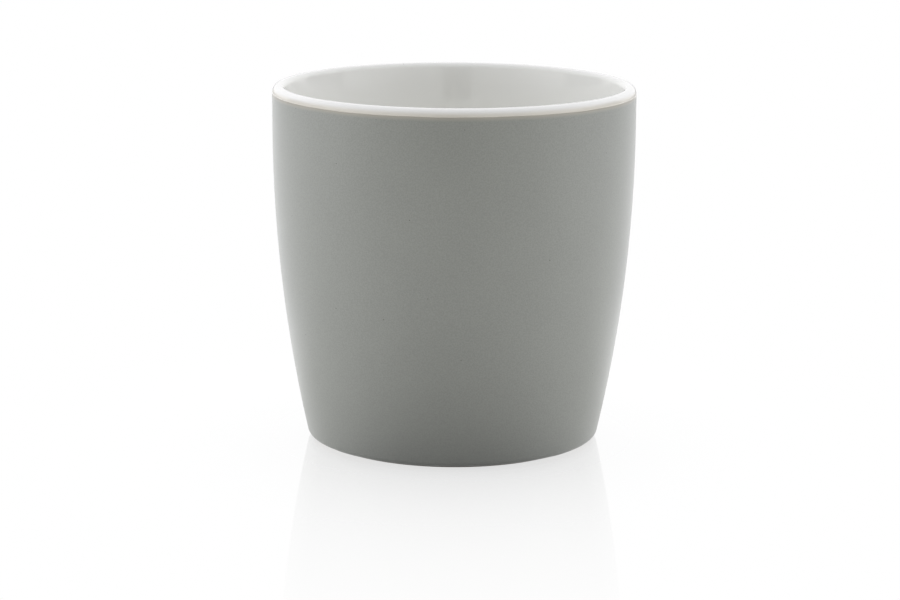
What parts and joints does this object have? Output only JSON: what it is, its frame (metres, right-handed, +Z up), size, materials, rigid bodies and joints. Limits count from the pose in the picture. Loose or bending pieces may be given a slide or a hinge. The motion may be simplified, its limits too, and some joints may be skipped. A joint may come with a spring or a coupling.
{
  "type": "cappuccino cup",
  "caption": "Round handleless ceramic cup with a gently tapering curved wall, a rounded lip, a white glazed hollow, a matt grey outside and a bare foot ring, for hot drinks.",
  "frame": {"origin": "centre of the foot ring, on the surface that the cup stands on", "axes": "+Z up along the axis that the cup is turned about; the cup is the same all the way round, so X and Y are free"},
  "size_m": [0.086, 0.086, 0.085],
  "materials": {
    "fired_clay": "matte",
    "grey_glaze": "satin",
    "white_glaze": "gloss"
  },
  "bodies": {
    "root": {"clay_body": "fired_clay", "outer_glaze": "grey_glaze", "lining_glaze": "white_glaze", "base_glaze": "white_glaze"}
  },
  "joints": []
}
